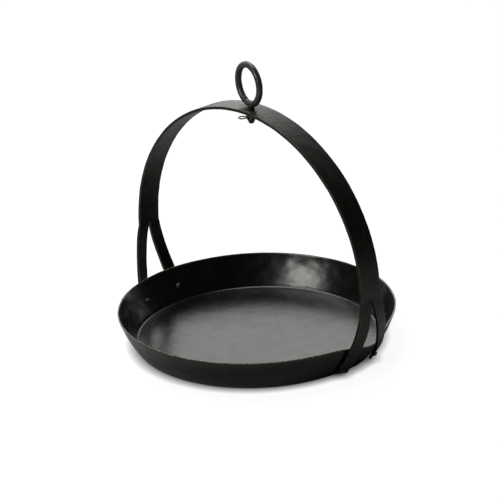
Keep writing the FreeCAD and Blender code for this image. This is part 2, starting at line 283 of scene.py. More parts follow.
class Nodes:
    """A node tree, with one short call for each kind of node."""

    def __init__(self, owner: bpy.types.Material | bpy.types.World) -> None:
        """Start an empty tree.

        Args:
            owner: The material or the world that it belongs to.
        """
        owner.use_nodes = True
        self.tree = owner.node_tree
        self.tree.nodes.clear()

    def wire(self, node: bpy.types.ShaderNode, inputs: dict[int | str, object]) -> None:
        """Link a node's inputs to sockets, or set plain values on them."""
        for key, value in inputs.items():
            if isinstance(value, Socket):
                self.tree.links.new(value, node.inputs[key])
            else:
                node.inputs[key].default_value = value

    def node(self, kind: str, inputs: dict[int | str, object] | None = None,
             **settings: object) -> bpy.types.ShaderNode:
        """Add a node, set its properties and wire its inputs."""
        made = self.tree.nodes.new(kind)
        for key, value in settings.items():
            setattr(made, key, value)
        self.wire(made, inputs or {})
        return made

    def ramp(self, value: Socket, low: float, high: float, to_low: float = 0.0,
             to_high: float = 1.0) -> Socket:
        """Spread a range of values over another, with soft ends."""
        ends = {"Value": value, "From Min": low, "From Max": high, "To Min": to_low, "To Max": to_high}
        return self.node("ShaderNodeMapRange", ends, interpolation_type="SMOOTHSTEP").outputs["Result"]

    def math(self, operation: str, first: object, second: object) -> Socket:
        """One arithmetic step."""
        return self.node("ShaderNodeMath", {0: first, 1: second}, operation=operation).outputs[0]

    def blend(self, share: Socket, low: object, high: object, kind: str = "RGBA") -> Socket:
        """Mix two colours, or two numbers if the kind is FLOAT, by a share."""
        parts = {"Factor": share, "A": low, "B": high}
        return self.node("ShaderNodeMix", parts, data_type=kind).outputs["Result"]


class Graph(Nodes):
    """A material's node tree, built round one shader."""

    def __init__(self, name: str) -> None:
        """Start an empty material.

        Args:
            name: The material's name.
        """
        self.material = bpy.data.materials.new(name)
        super().__init__(self.material)
        self.shader = self.node("ShaderNodeBsdfPrincipled")
        self.node("ShaderNodeOutputMaterial", {"Surface": self.shader.outputs["BSDF"]})
        self.place = self.node("ShaderNodeTexCoord").outputs["Object"]

    def stretched(self, scale: Sequence[float], turn: float) -> Socket:
        """Object coordinates, turned about +Z and stretched."""
        inputs = {"Vector": self.place, "Rotation": (0.0, 0.0, turn), "Scale": scale}
        return self.node("ShaderNodeMapping", inputs).outputs["Vector"]

    def noise(self, grain: float, detail: float, rough: float, at: Socket | None = None) -> Socket:
        """Cloudy noise whose largest marks are about one grain across."""
        inputs = {"Vector": at or self.place, "Scale": 1.0 / grain, "Detail": detail, "Roughness": rough}
        return self.node("ShaderNodeTexNoise", inputs).outputs["Fac"]

    def cells(self, grain: float, smooth: float = 0.6) -> Socket:
        """Rounded hollows about one grain across, like hammer marks."""
        inputs = {"Vector": self.place, "Scale": 1.0 / grain, "Smoothness": smooth}
        return self.node("ShaderNodeTexVoronoi", inputs, feature="SMOOTH_F1").outputs["Distance"]

    def wear(self) -> Socket:
        """The piece's own record of how exposed its edges are."""
        return self.node("ShaderNodeAttribute", attribute_name="wear").outputs["Fac"]

    def bump(self, height: Socket, depth: float, under: Socket | None = None) -> Socket:
        """Relief of a depth, on top of another relief."""
        inputs = {"Strength": 1.0, "Distance": depth, "Height": height}
        if under:
            inputs["Normal"] = under
        return self.node("ShaderNodeBump", inputs).outputs["Normal"]


@dataclass(frozen=True)
class ForgedSteel:
    """Blackened steel: a dark mottled skin, rust in places, bare metal where it is rubbed; on the hoop and
    the rivets the bare edges also stand in for painted highlights.
    """

    name: str
    dark: Colour
    light: Colour
    rust: Colour
    bare: Colour
    rust_share: float = 0.35
    wear_share: float = 0.8
    rough_low: float = 0.3
    rough_high: float = 0.5
    specular: float = 0.5
    tint: Colour = (1.0, 1.0, 1.0)
    metallic: float = 0.0
    mottle: float = 9.0 * MM
    grain: float = 1.6 * MM
    hammer: float = 8.0 * MM
    hammer_depth: float = 0.12 * MM
    grain_depth: float = 0.05 * MM
    scratch_depth: float = 0.0
    speckle: float = 0.08

    def skin(self, graph: Graph) -> Socket:
        """The colour: mottling, then rust, then worn edges, which on the hoop and the rivets also stand in
        for painted highlights.

        Args:
            graph: The material being made.

        Returns:
            The colour's socket.
        """
        mottled = graph.ramp(graph.noise(self.mottle, detail=6.0, rough=0.62), low=0.34, high=0.68)
        colour = graph.blend(mottled, (*self.dark, 1.0), (*self.light, 1.0))
        cloud = graph.noise(2.7 * self.mottle, detail=7.0, rough=0.66)
        patches = graph.ramp(cloud, low=0.5, high=0.72, to_high=self.rust_share)
        colour = graph.blend(patches, colour, (*self.rust, 1.0))
        broken = graph.ramp(graph.noise(2.0 * self.grain, detail=4.0, rough=0.6), low=0.3, high=0.62)
        # bare metal on sharp edges: real wear, and on the hoop and the rivets partly a painted highlight
        rubbed = graph.math("MULTIPLY", graph.wear(), broken)
        rubbed = graph.math("MULTIPLY", rubbed, self.wear_share)
        return graph.blend(rubbed, colour, (*self.bare, 1.0))

    def relief(self, graph: Graph) -> Socket:
        """Hammer marks, then the scale's grain, then long scratches.

        Args:
            graph: The material being made.

        Returns:
            The normal's socket.
        """
        normal = graph.bump(graph.cells(self.hammer), self.hammer_depth)
        normal = graph.bump(graph.noise(self.grain, detail=5.0, rough=0.6), self.grain_depth, normal)
        if self.scratch_depth:
            long_way = graph.stretched(scale=(0.04, 1.0, 1.0), turn=math.radians(28.0))
            lines = graph.noise(0.5 * self.grain, detail=2.0, rough=0.5, at=long_way)
            normal = graph.bump(graph.ramp(lines, low=0.62, high=0.7), self.scratch_depth, normal)
        return normal

    def roughness(self, graph: Graph) -> Socket:
        """How dull the skin is: large patches, with fine speckle over them.

        Args:
            graph: The material being made.

        Returns:
            The roughness's socket.
        """
        patchy = graph.noise(1.4 * self.mottle, detail=5.0, rough=0.6)
        rough = graph.ramp(patchy, 0.3, 0.7, self.rough_low, self.rough_high)
        fine = graph.math("SUBTRACT", graph.noise(0.8 * self.grain, detail=3.0, rough=0.6), 0.5)
        return graph.math("ADD", rough, graph.math("MULTIPLY", fine, 2.0 * self.speckle))

    def make(self) -> bpy.types.Material:
        """Build the material.

        Returns:
            The finished material.
        """
        graph = Graph(self.name)
        graph.wire(graph.shader, {
            "Base Color": self.skin(graph),
            "Roughness": self.roughness(graph),
            "Normal": self.relief(graph),
            "Specular IOR Level": self.specular,
            "Specular Tint": (*self.tint, 1.0),
            "Metallic": self.metallic,
        })
        return graph.material


PAN_INSIDE = ForgedSteel(
    "pan_inside", dark=(0.001, 0.001, 0.001), light=(0.0035, 0.0033, 0.003), rust=(0.010, 0.007, 0.004),
    bare=(0.24, 0.19, 0.14), rust_share=0.25, wear_share=0.8, rough_low=0.225, rough_high=0.275,
    specular=0.66, tint=(0.98, 1.0, 0.94), mottle=14.0 * MM, hammer=11.0 * MM, hammer_depth=0.10 * MM,
    grain_depth=0.016 * MM, scratch_depth=0.012 * MM)
PAN_OUTSIDE = ForgedSteel(
    "pan_outside", dark=(0.002, 0.0018, 0.0015), light=(0.005, 0.0042, 0.0035), rust=(0.012, 0.007, 0.005),
    bare=(0.16, 0.12, 0.09), wear_share=0.6, rough_low=0.4, rough_high=0.6, specular=0.2,
    tint=(1.0, 0.9, 0.8), grain_depth=0.06 * MM)
# Hoop: the bare metal on its worn edges is partly real wear and partly painted highlights along the bar's
# edges.
HOOP_STEEL = ForgedSteel(
    "hoop_steel", dark=(0.001, 0.001, 0.001), light=(0.0025, 0.0021, 0.0017), rust=(0.014, 0.007, 0.005),
    bare=(0.16, 0.11, 0.08), rough_low=0.34, rough_high=0.42, specular=0.52, wear_share=0.85,
    tint=(1.0, 0.93, 0.81), mottle=5.0 * MM, grain=1.1 * MM, hammer=6.5 * MM, hammer_depth=0.06 * MM,
    grain_depth=0.08 * MM, speckle=0.2)
# Rivets: the bare metal on their worn dome edges is partly real wear and partly a painted highlight on the
# heads.
RIVET_STEEL = ForgedSteel(
    "rivet_steel", dark=(0.006, 0.005, 0.0045), light=(0.022, 0.018, 0.015), rust=(0.03, 0.015, 0.01),
    bare=(0.24, 0.19, 0.15), rough_low=0.3, rough_high=0.45, specular=0.6, mottle=2.5 * MM,
    grain=0.6 * MM, hammer=1.8 * MM, hammer_depth=0.08 * MM, grain_depth=0.03 * MM)
EYE_STEEL = ForgedSteel(
    "eye_steel", dark=(0.014, 0.014, 0.014), light=(0.040, 0.039, 0.036), rust=(0.05, 0.032, 0.022),
    bare=(0.14, 0.12, 0.10), rust_share=0.15, rough_low=0.28, rough_high=0.46, specular=0.6,
    mottle=5.0 * MM, grain=1.1 * MM, hammer=4.0 * MM, hammer_depth=0.10 * MM, grain_depth=0.06 * MM)
FASTENER_STEEL = ForgedSteel(
    "fastener_steel", dark=(0.016, 0.016, 0.015), light=(0.045, 0.043, 0.040), rust=(0.06, 0.035, 0.02),
    bare=(0.16, 0.14, 0.12), rough_low=0.35, rough_high=0.5, mottle=3.0 * MM, grain=0.7 * MM,
    hammer=2.5 * MM, hammer_depth=0.04 * MM, grain_depth=0.03 * MM)
PIN_WIRE = ForgedSteel(
    "pin_wire", dark=(0.16, 0.13, 0.10), light=(0.46, 0.38, 0.30), rust=(0.16, 0.09, 0.05),
    bare=(0.42, 0.36, 0.30), rust_share=0.5, rough_low=0.28, rough_high=0.4, metallic=1.0,
    mottle=2.0 * MM, grain=0.4 * MM, hammer=1.5 * MM, hammer_depth=0.01 * MM, grain_depth=0.01 * MM)


def finish_piece(piece: Piece, body: Body, nodes: Sequence[str],
                 finishes: Sequence[ForgedSteel]) -> None:
    """Shade a piece smooth, dress it, hang it on its body and hide the CAD nodes that it stands for.

    Args:
        piece: The finished mesh.
        body: The CAD body that it rides on.
        nodes: The CAD nodes that it replaces.
        finishes: Its finishes, in the order of its faces' material indices.
    """
    pick(piece)
    bpy.ops.object.shade_smooth_by_angle(angle=math.radians(50.0))
    record_wear(piece)
    piece.data.materials.clear()
    for finish in finishes:
        piece.data.materials.append(finish.make())
    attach(piece, body.value)
    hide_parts(*nodes)
    low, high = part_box(nodes[0])
    spots = np.array([vert.co for vert in piece.data.vertices])
    grown = max((np.array(low) - spots.min(0)).max(), (spots.max(0) - np.array(high)).max())
    log.info("%s: %d faces, %.1f mm past its CAD box", piece.name, len(piece.data.polygons), grown / MM)


# ---------------- the pan


@dataclass
class Pan:
    """Shallow round dish of sheet steel: a tapered, bowed wall turned up from a flat floor."""

    base_radius: float = 122.0 * MM
    floor_thickness: float = 3.0 * MM
    foot_thickness: float = 3.2 * MM
    rim_thickness: float = 1.6 * MM
    bow: float = 1.5 * MM
    rounding: float = 2.5 * MM
    crease_rise: float = 2.2 * MM
    crease_inset: float = 2.8 * MM
    pull_out: float = 8.0 * MM
    pull_spread: float = 8.0
    pull_fade: float = 0.4
    foot_turn: float = 5.4
    rim_dip: float = 4.6 * MM
    dip_spread: float = 7.0
    waver: float = 0.35 * MM
    long_wave: tuple[float, float] = (3.1, 1.7)
    short_wave: tuple[float, float] = (11.0, 5.0)
    short_wave_share: float = 0.5
    rim_wave: float = 5.3
    rim_wave_share: float = 0.8
    hammered_up_to: float = 1.1
    columns: int = 240
    rim_radius: float = field(init=False)
    height: float = field(init=False)

    def __post_init__(self) -> None:
        """Take the rim's radius and height from the CAD pan."""
        low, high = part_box("pan")
        self.rim_radius = -low.x
        self.height = high.z

    def away(self, angle: float) -> float:
        """Degrees between an angle and the foot where the wall is drawn out."""
        return (angle - self.foot_turn + 180.0) % 360.0 - 180.0

    def outer(self, angle: float, height: float) -> float:
        """Radius of the wall's outer face at an angle in degrees and a height."""
        share = height / self.height
        line = self.base_radius + (self.rim_radius - self.base_radius) * share
        bow = 4.0 * self.bow * share * (1.0 - share)
        low = max(self.rounding - height, 0.0)
        corner = self.rounding - math.sqrt(self.rounding ** 2 - low ** 2)
        around = math.exp(-0.5 * (self.away(angle) / self.pull_spread) ** 2)
        pull = self.pull_out * around * max(share, 0.0) ** self.pull_fade
        return line + bow - corner + pull

    def inner(self, angle: float, height: float) -> float:
        """Radius of the wall's inner face."""
        thinning = (self.foot_thickness - self.rim_thickness) * height / self.height
        return self.outer(angle, height) - self.foot_thickness + thinning

    def point(self, angle: float, height: float) -> Vector:
        """A point on the wall's outer face."""
        turned = math.radians(angle)
        radius = self.outer(angle, height)
        return Vector((radius * math.cos(turned), radius * math.sin(turned), height))

    def wall_axes(self, angle: float, height: float) -> tuple[Vector, Vector, Vector]:
        """The wall's outward, upward and sideways directions at a place."""
        step = 0.5
        rise = step * MM
        up = (self.point(angle, height + rise) - self.point(angle, height - rise)).normalized()
        along = (self.point(angle + step, height) - self.point(angle - step, height)).normalized()
        outward = along.cross(up).normalized()
        return outward, up, outward.cross(up)

    def put(self, co: Vector, radius_at: Callable[[float, float], float], level: float, inset: float,
            lift: float) -> Vector:
        """Place a ring's vertex on the wall, with the wall's slight waviness and the rim's dip.

        Args:
            co: The vertex, which keeps its angle.
            radius_at: The wall's outer or inner radius.
            level: The height that the radius is taken at.
            inset: How far inside that radius it lies.
            lift: How far above the level it lies.

        Returns:
            Its new place.
        """
        turned = math.atan2(co.y, co.x)
        angle = math.degrees(turned)
        share = level / self.height
        around = Vector((math.cos(turned), math.sin(turned), 0.0))
        (slow, slow_up), (quick, quick_up) = self.long_wave, self.short_wave
        swell = self.waver * share * noise.noise(around * slow + UP * (slow_up * share))
        ripple = noise.noise(around * quick + UP * (quick_up * share))
        swell += self.short_wave_share * self.waver * share * ripple
        radius = radius_at(angle, level) - inset + swell
        dip = self.rim_dip * share ** 2 * math.exp(-0.5 * (self.away(angle) / self.dip_spread) ** 2)
        uneven = self.rim_wave_share * self.waver * share ** 2 * noise.noise(around * self.rim_wave)
        return around * radius + UP * (level + lift - dip - max(uneven, 0.0))

    def rings(self) -> list[tuple[Callable[[float, float], float], float, float, float]]:
        """The rings from the underside's edge, over the rim and down to the floor.

        Returns:
            For each ring its wall face, level, inset and lift.
        """
        corner_steps, wall_steps, crease_steps = 3, 8, 4
        rings = []
        for step in range(corner_steps):
            turn = 0.5 * math.pi * step / corner_steps
            rings.append((self.outer, self.rounding * (1.0 - math.cos(turn)), 0.0, 0.0))
        lip = 0.5 * self.rim_thickness
        top = self.height - lip
        for step in range(wall_steps + 1):
            level = self.rounding + (top - self.rounding) * step / wall_steps
            rings.append((self.outer, level, 0.0, 0.0))
        for degrees in (45.0, 90.0, 135.0):
            turn = math.radians(degrees)
            rings.append((self.outer, top, lip * (1.0 - math.cos(turn)), lip * math.sin(turn)))
        foot = self.floor_thickness + self.crease_rise
        for step in range(wall_steps + 1):
            rings.append((self.inner, top + (foot - top) * step / wall_steps, 0.0, 0.0))
        for step in range(1, crease_steps + 1):
            turn = 0.5 * math.pi * step / crease_steps
            inset = self.crease_inset * (1.0 - math.cos(turn))
            rings.append((self.inner, foot, inset, -self.crease_rise * math.sin(turn)))
        rings.append((self.inner, foot, 2.0 * self.crease_inset, -self.crease_rise))
        return rings

    def build(self) -> Piece:
        """Turn up the wall ring by ring from a circle, and close the floor with a grid.

        Returns:
            The dish.
        """
        rings = self.rings()
        bpy.ops.mesh.primitive_circle_add(vertices=self.columns, radius=self.outer(180.0, 0.0))
        dish = bpy.context.object
        dish.name = "dish"
        with editing(dish):
            bpy.ops.mesh.select_mode(type="EDGE")
            bpy.ops.mesh.select_all(action="SELECT")
            for radius_at, level, inset, lift in rings[1:]:
                extrude_to(dish, lambda co: self.put(co, radius_at, level, inset, lift))
            bpy.ops.mesh.fill_grid(span=self.columns // 4)
            bpy.ops.mesh.select_all(action="DESELECT")
            within = self.outer(180.0, 0.0) - 1.0 * MM
            choose(dish, lambda middle: middle.z < 0.01 * MM and middle.xy.length > within, "EDGE")
            bpy.ops.mesh.fill_grid(span=self.columns // 4)
            face_outward()
        refine(dish)
        self.hammer(dish)
        return dish

    def hammer(self, dish: Piece) -> None:
        """Dent the wall all over and the floor slightly, and give the outside its own material index.

        Args:
            dish: The smooth dish.
        """
        walls = dish.vertex_groups.new(name="walls")
        floor = dish.vertex_groups.new(name="floor")
        inside_edge = self.inner(180.0, self.floor_thickness) - 4.0 * self.crease_inset
        for vert in dish.data.vertices:
            if vert.co.xy.length < inside_edge:
                floor.add([vert.index], 1.0, "REPLACE")
            elif vert.co.z > self.crease_rise + self.floor_thickness:
                rise = (vert.co.z - self.floor_thickness) / (self.height - self.floor_thickness)
                struck = min(1.0, 4.0 * rise * (self.hammered_up_to - rise))
                walls.add([vert.index], struck, "REPLACE")
        dent(dish, "VORONOI", grain=13.0 * MM, depth=0.45 * MM, level=0.4, group="walls")
        dent(dish, "CLOUDS", grain=26.0 * MM, depth=0.5 * MM, group="walls")
        dent(dish, "CLOUDS", grain=60.0 * MM, depth=0.25 * MM, group="floor")
        for face in dish.data.polygons:
            outward = face.normal.x * face.center.x + face.normal.y * face.center.y
            below = face.center.z < self.floor_thickness * 0.5
            outside = below or (outward > 0.0 and face.center.z < self.height - self.rim_thickness)
            face.material_index = 1 if outside else 0


# ---------------- the hoop and its rivets


@dataclass
class Hoop:
    """Flat-bar hoop whose ends are slit, spread and laid on the pan's wall."""

    pan: Pan
    bar_width: float = 25.5 * MM
    bar_thickness: float = 3.0 * MM
    slit_width: float = 0.8 * MM
    overhang: float = 16.5 * MM
    foot_spread: float = 10.8
    right_foot_lift: float = 0.3 * MM
    left_foot_lift: float = 8.1 * MM
    pad_length: float = 4.2 * MM
    foot_gap: float = 0.2 * MM
    pad_shares: tuple[float, ...] = (0.5, 1.0, 1.5, 2.0)
    lean_share: float = 0.25
    crotch_angle: float = 15.0
    near_lean: float = 5.0
    far_lean: float = 33.0
    upper_reach: float = 7.3 * MM
    lower_reach: float = 58.0 * MM
    shear_share: float = 0.3
    shear_power: float = 1.3
    parting_share: float = 0.34
    wander: float = 0.3 * MM
    wander_rate: float = 4.3
    broadening: float = 0.012
    broadening_rate: float = 9.0
    tine_broadening: float = 0.03
    tine_broadening_rate: float = 90.0
    arch_steps: int = 150
    tine_steps: int = 30
    hole_radius: float = 3.3 * MM
    radius: float = field(init=False)
    centre_height: float = field(init=False)

    def __post_init__(self) -> None:
        """Take the arch's radius from the pan's rim, and its height from the CAD hoop."""
        self.radius = self.pan.rim_radius + self.overhang
        self.centre_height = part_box("hoop_bar")[1].z - self.radius - 0.5 * self.bar_thickness

    def foot_angle(self, side: Side, fork: Fork) -> float:
        """Where a foot stands around the pan, in degrees."""
        start = 0.0 if side is Side.RIGHT else 180.0
        return start + self.pan.foot_turn + side.value * fork.value * self.foot_spread

    def rivet_height(self, side: Side) -> float:
        """Height of a side's rivets, which keeps the far tine's lower corner clear of the ground."""
        level = self.lean_share * self.pan.height
        outward, up, _ = self.pan.wall_axes(self.foot_angle(side, Fork.REAR), level)
        lean = math.radians(self.far_lean)
        half_width = 0.25 * (self.bar_width - self.slit_width)
        below = self.pad_length * math.cos(lean) + half_width * math.sin(lean)
        drop = below * up.z - (self.foot_gap + self.bar_thickness) * outward.z
        return drop + (self.right_foot_lift if side is Side.RIGHT else self.left_foot_lift)

    def arch(self) -> list[Station]:
        """Sections over the crown, from the right-hand end to the left-hand end."""
        stations = []
        for step in range(self.arch_steps + 1):
            turn = math.pi * step / self.arch_steps
            out = Vector((math.cos(turn), 0.0, math.sin(turn)))
            wander = Vector((self.wander * noise.noise(out * self.wander_rate), 0.0, 0.0))
            place = out * self.radius + UP * self.centre_height + wander
            broad = 1.0 + self.broadening * noise.noise(out * self.broadening_rate)
            stations.append(Station(place, Vector((0.0, broad, 0.0)), out))
        return stations

    def tine(self, side: Side, fork: Fork) -> list[Station]:
        """Sections down one tine, from the slit's top to its end on the wall.

        Args:
            side: The hoop's end.
            fork: The tine.

        Returns:
            The stations, of which the first is half of the arch's end.
        """
        height = self.rivet_height(side)
        angle = self.foot_angle(side, fork)
        normal, up, sideways = self.pan.wall_axes(angle, height)
        travels_far = side.value * fork.value > 0
        lean = math.radians(self.far_lean if travels_far else self.near_lean) * side.value * fork.value
        down = (-math.cos(lean) * up - math.sin(lean) * sideways).normalized()
        rivet = self.pan.point(angle, height) + normal * (self.foot_gap + 0.5 * self.bar_thickness)
        landing = rivet - down * self.pad_length
        quarter = 0.25 * (self.bar_width + self.slit_width)
        start = Vector((side.value * self.radius, fork.value * quarter, self.centre_height))
        splay = math.radians(self.crotch_angle)
        parting = Vector((0.0, fork.value * math.sin(splay), -math.cos(splay)))
        poles = (start, start + parting * self.upper_reach, landing - down * self.lower_reach, landing)
        outward = Vector((side.value, 0.0, 0.0))
        narrow = (self.bar_width - self.slit_width) / self.bar_width
        level = Vector((0.0, 1.0, 0.0))
        half_end = Vector((start.x, fork.value * 0.25 * self.bar_width, start.z))
        stations = [Station(half_end, level, outward)]
        for step in range(1, self.tine_steps + 1):
            share = step / self.tine_steps
            place, tangent = bezier(poles, share)
            parted = min(1.0, share / self.parting_share)
            place.y = start.y + (place.y - start.y) * parted * (2.0 - parted)
            eased = share * share * (3.0 - 2.0 * share)
            facing = outward.lerp(normal, eased)
            across = facing.cross(tangent).normalized() * side.value
            settled = min(1.0, share / self.shear_share) ** self.shear_power
            across = level.lerp(across, settled).normalized()
            facing = (facing - tangent * facing.dot(tangent)).normalized()
            broad = 1.0 + self.tine_broadening * noise.noise(place * self.tine_broadening_rate)
            stations.append(Station(place, across * (narrow * broad), facing))
        last = stations[-1]
        for share in self.pad_shares:
            stations.append(Station(landing + down * (share * self.pad_length), last.across, last.outward))
        return stations

    def build(self) -> Piece:
        """Draw the bar over the crown and both slit ends down to their feet.

        Returns:
            The hoop.
        """
        wide_cells, thick_cells = 8, 2
        bpy.ops.mesh.primitive_grid_add(x_subdivisions=thick_cells, y_subdivisions=wide_cells, size=1.0)
        bar = bpy.context.object
        bar.name = "hoop"
        first = self.arch()[0]
        section = Station(first.place, first.across * self.bar_width, first.outward * self.bar_thickness)
        for vert in bar.data.vertices:
            vert.co = section.put(vert.co.y, vert.co.x)
        with editing(bar):
            bpy.ops.mesh.select_mode(type="FACE")
            bpy.ops.mesh.select_all(action="SELECT")
            draw_out(bar, self.arch())
            bpy.ops.mesh.select_all(action="SELECT")
            bpy.ops.mesh.remove_doubles(threshold=0.01 * MM)
            for side in Side:
                for fork in Fork:
                    choose(bar, lambda middle: self.is_end(middle, side, fork))
                    draw_out(bar, self.tine(side, fork))
            face_outward()
        self.pierce(bar)
        soften(bar, width=0.55 * MM, angle=42.0)
        refine(bar)
        dent(bar, "VORONOI", grain=9.0 * MM, depth=0.22 * MM, level=0.45)
        dent(bar, "CLOUDS", grain=5.0 * MM, depth=0.16 * MM)
        return bar

    def is_end(self, middle: Vector, side: Side, fork: Fork) -> bool:
        """Whether a face lies in one half of one end of the arch."""
        level = abs(middle.z - self.centre_height) < 0.05 * MM
        here = side.value * middle.x > self.radius - self.bar_thickness
        return level and here and fork.value * middle.y > 0.0

    def pierce(self, bar: Piece) -> None:
        """Cut the hole that the eye turns in.

        Args:
            bar: The hoop, before its edges are softened.
        """
        pivot = Vector(frame["joints"][0]["pos_m"])
        depth = 8.0 * self.bar_thickness
        bpy.ops.mesh.primitive_cylinder_add(vertices=32, radius=self.hole_radius, depth=depth,
                                            location=(pivot.x, pivot.y, pivot.z))
        cutter = bpy.context.object
        apply(bar, "BOOLEAN", "hole", operation="DIFFERENCE", object=cutter, solver="EXACT")
        bpy.data.objects.remove(cutter)


def bezier(poles: Sequence[Vector], share: float) -> tuple[Vector, Vector]:
    """A point of a cubic curve and its direction there.

    Args:
        poles: The curve's four poles.
        share: How far along, from 0 to 1.

    Returns:
        The point and the unit direction.
    """
    row = list(poles)
    while len(row) > 2:
        row = [first.lerp(second, share) for first, second in zip(row, row[1:])]
    return row[0].lerp(row[1], share), (row[1] - row[0]).normalized()


@dataclass
class ForgedCopy:
    """A small CAD piece given soft, uneven edges by remeshing a copy of it."""

    node: str
    name: str
    cell: float = 0.2 * MM
    grain: float = 1.6 * MM
    roughness: float = 0.12 * MM

    def build(self) -> Piece:
        """Copy, merge, remesh, smooth and dent the CAD piece.

        Returns:
            The new piece.
        """
        copy = bpy.data.objects.new(self.name, frame["nodes"][self.node].data.copy())
        bpy.context.scene.collection.objects.link(copy)
        with editing(copy):
            bpy.ops.mesh.select_all(action="SELECT")
            bpy.ops.mesh.remove_doubles(threshold=0.002 * MM)
        apply(copy, "REMESH", "voxels", mode="VOXEL", voxel_size=self.cell)
        apply(copy, "SMOOTH", "soften", factor=0.5, iterations=4)
        dent(copy, "CLOUDS", self.grain, self.roughness)
        return copy


# ---------------- the swivel


@dataclass
class Rod:
    """A round rod bent to a line in one upright plane."""

    name: str
    radius: float
    points: list[Vector]
    plane_normal: Vector
    end_cut: float = 0.0
    corners: int = 24
    girth: Sequence[float] = ()

    def stations(self) -> list[Station]:
        """Sections square to the line, with the last one cut at a slant."""
        made = []
        last = len(self.points) - 1
        for step, place in enumerate(self.points):
            ahead = self.points[min(step + 1, last)]
            behind = self.points[max(step - 1, 0)]
            tangent = (ahead - behind).normalized()
            across = self.plane_normal.cross(tangent).normalized()
            if step == last and self.end_cut:
                across = across + tangent * math.tan(math.radians(self.end_cut))
            share = self.girth[step] if self.girth else 1.0
            made.append(Station(place, across * share, self.plane_normal * share))
        return made

    def build(self) -> Piece:
        """Draw a round face out along the line.

        Returns:
            The rod.
        """
        bpy.ops.mesh.primitive_circle_add(vertices=self.corners, radius=self.radius, fill_type="NGON")
        rod = bpy.context.object
        rod.name = self.name
        stations = self.stations()
        for vert in rod.data.vertices:
            vert.co = stations[0].put(vert.co.x, vert.co.y)
        with editing(rod):
            bpy.ops.mesh.select_mode(type="FACE")
            bpy.ops.mesh.select_all(action="SELECT")
            draw_out(rod, stations)
            face_outward()
        return rod


@dataclass
class SwivelEye:
    """Eye bent from round rod: a shank through the crown, and a ring that closes on the neck."""

    rod_radius: float = 3.3 * MM
    ring_radius: float = 19.5 * MM
    turn: float = -13.0
    side_shift: float = -2.0 * MM
    neck_angle: float = -60.0
    closing_angle: float = 280.0
    seam_angle: float = 250.0
    seam_depth: float = 0.32
    seam_spread: float = 2.2
    bend_reach: float = 4.5 * MM
    end_slant: float = -35.0
    ring_steps: int = 180
    neck_steps: int = 8
    shank_steps: int = 20
    tip_length: float = 4.7 * MM
    tip_girth: float = 0.3
    head_girth: float = 1.25

    def line(self) -> list[Vector]:
        """The rod's middle line, from the shank's tip round the ring to its closing end."""
        low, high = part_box("swivel_eye")
        pivot = Vector(frame["joints"][0]["pos_m"])
        along = heading(self.turn)
        centre = Vector((pivot.x, pivot.y, high.z - self.rod_radius - self.ring_radius))
        centre += along * self.side_shift

        def ring_point(angle: float) -> Vector:
            """The middle of the ring's rod at an angle."""
            turned = math.radians(angle)
            return centre + (along * math.cos(turned) + UP * math.sin(turned)) * self.ring_radius

        start = Vector((pivot.x, pivot.y, centre.z - self.ring_radius - self.bend_reach))
        turned = math.radians(self.neck_angle)
        leaving = UP * math.cos(turned) - along * math.sin(turned)
        joins = ring_point(self.neck_angle)
        poles = (start, start + UP * (0.75 * self.bend_reach), joins - leaving * self.bend_reach, joins)
        tip = Vector((pivot.x, pivot.y, low.z))
        points = [tip.lerp(start, step / self.shank_steps) for step in range(self.shank_steps)]
        points += [bezier(poles, step / self.neck_steps)[0] for step in range(self.neck_steps)]
        span = self.closing_angle - self.neck_angle
        for step in range(self.ring_steps + 1):
            points.append(ring_point(self.neck_angle + span * step / self.ring_steps))
        return points

    def girth(self, line: Sequence[Vector]) -> list[float]:
        """How thick the rod is along its line: a blunt cone at the tip, a pinch where its end closes.

        Args:
            line: The rod's middle line.

        Returns:
            The rod's radius at each point, as a share of its full radius.
        """
        shares = []
        for place in line[:self.shank_steps + self.neck_steps]:
            share = (place - line[0]).length / self.tip_length
            spread = self.tip_girth + (self.head_girth - self.tip_girth) * math.sqrt(min(share, 1.0))
            shares.append(spread if share <= 1.0 else 1.0)
        span = self.closing_angle - self.neck_angle
        for step in range(self.ring_steps + 1):
            away = self.neck_angle + span * step / self.ring_steps - self.seam_angle
            shares.append(1.0 - self.seam_depth * math.exp(-(away / self.seam_spread) ** 2))
        return shares

    def build(self) -> Piece:
        """Bend the rod and work its surface.

        Returns:
            The eye.
        """
        facing = UP.cross(heading(self.turn))
        line = self.line()
        eye = Rod("eye", self.rod_radius, line, facing, self.end_slant, girth=self.girth(line)).build()
        soften(eye, width=0.3 * MM, angle=60.0)
        refine(eye)
        dent(eye, "VORONOI", grain=4.5 * MM, depth=0.18 * MM, level=0.45)
        dent(eye, "CLOUDS", grain=2.2 * MM, depth=0.12 * MM)
        return eye


